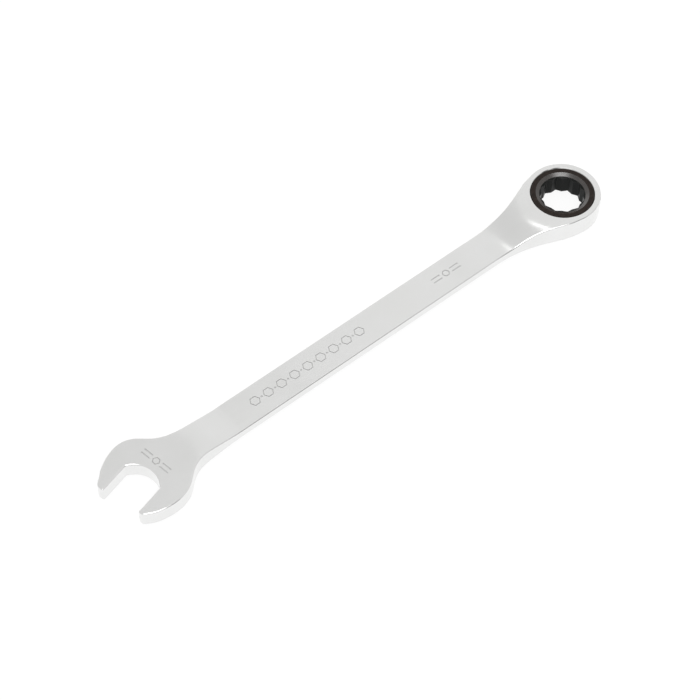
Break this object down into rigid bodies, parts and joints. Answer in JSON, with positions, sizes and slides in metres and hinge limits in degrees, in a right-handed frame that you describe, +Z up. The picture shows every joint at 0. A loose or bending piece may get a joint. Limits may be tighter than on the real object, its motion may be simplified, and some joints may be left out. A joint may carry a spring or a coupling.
{
  "type": "ratcheting combination wrench",
  "caption": "Chrome ratcheting combination wrench with an angled open end, a flat shank and a black drive gear in the box end.",
  "frame": {"origin": "on the ratchet axis, at the underside of the box end", "axes": "+X from the shank towards the box end, so the open end points along -X; +Z up along the ratchet axis"},
  "size_m": [0.3142, 0.0448, 0.012],
  "materials": {
    "chrome_plate": "polished",
    "black_steel": "satin",
    "bare_steel": "satin",
    "spring_steel": "satin"
  },
  "bodies": {
    "frame": {"wrench_body": "chrome_plate", "retaining_ring": "spring_steel", "pawl_spring": "spring_steel"},
    "gear": {"drive_gear": "black_steel"},
    "pawl_body": {"pawl": "bare_steel"}
  },
  "joints": [
    {"name": "gear_turn", "type": "hinge", "parent": "frame", "child": "gear", "pos_m": [0, 0, 0.006], "axis": [0, 0, 1], "continuous": true},
    {"name": "pawl_slide", "type": "slide", "parent": "frame", "child": "pawl_body", "axis": [-0.9659, -0.2588, 0], "range_m": [0, 0.00075], "stiffness_N_per_m": 400, "springref_m": -0.002, "deforming": ["pawl_spring"]}
  ]
}
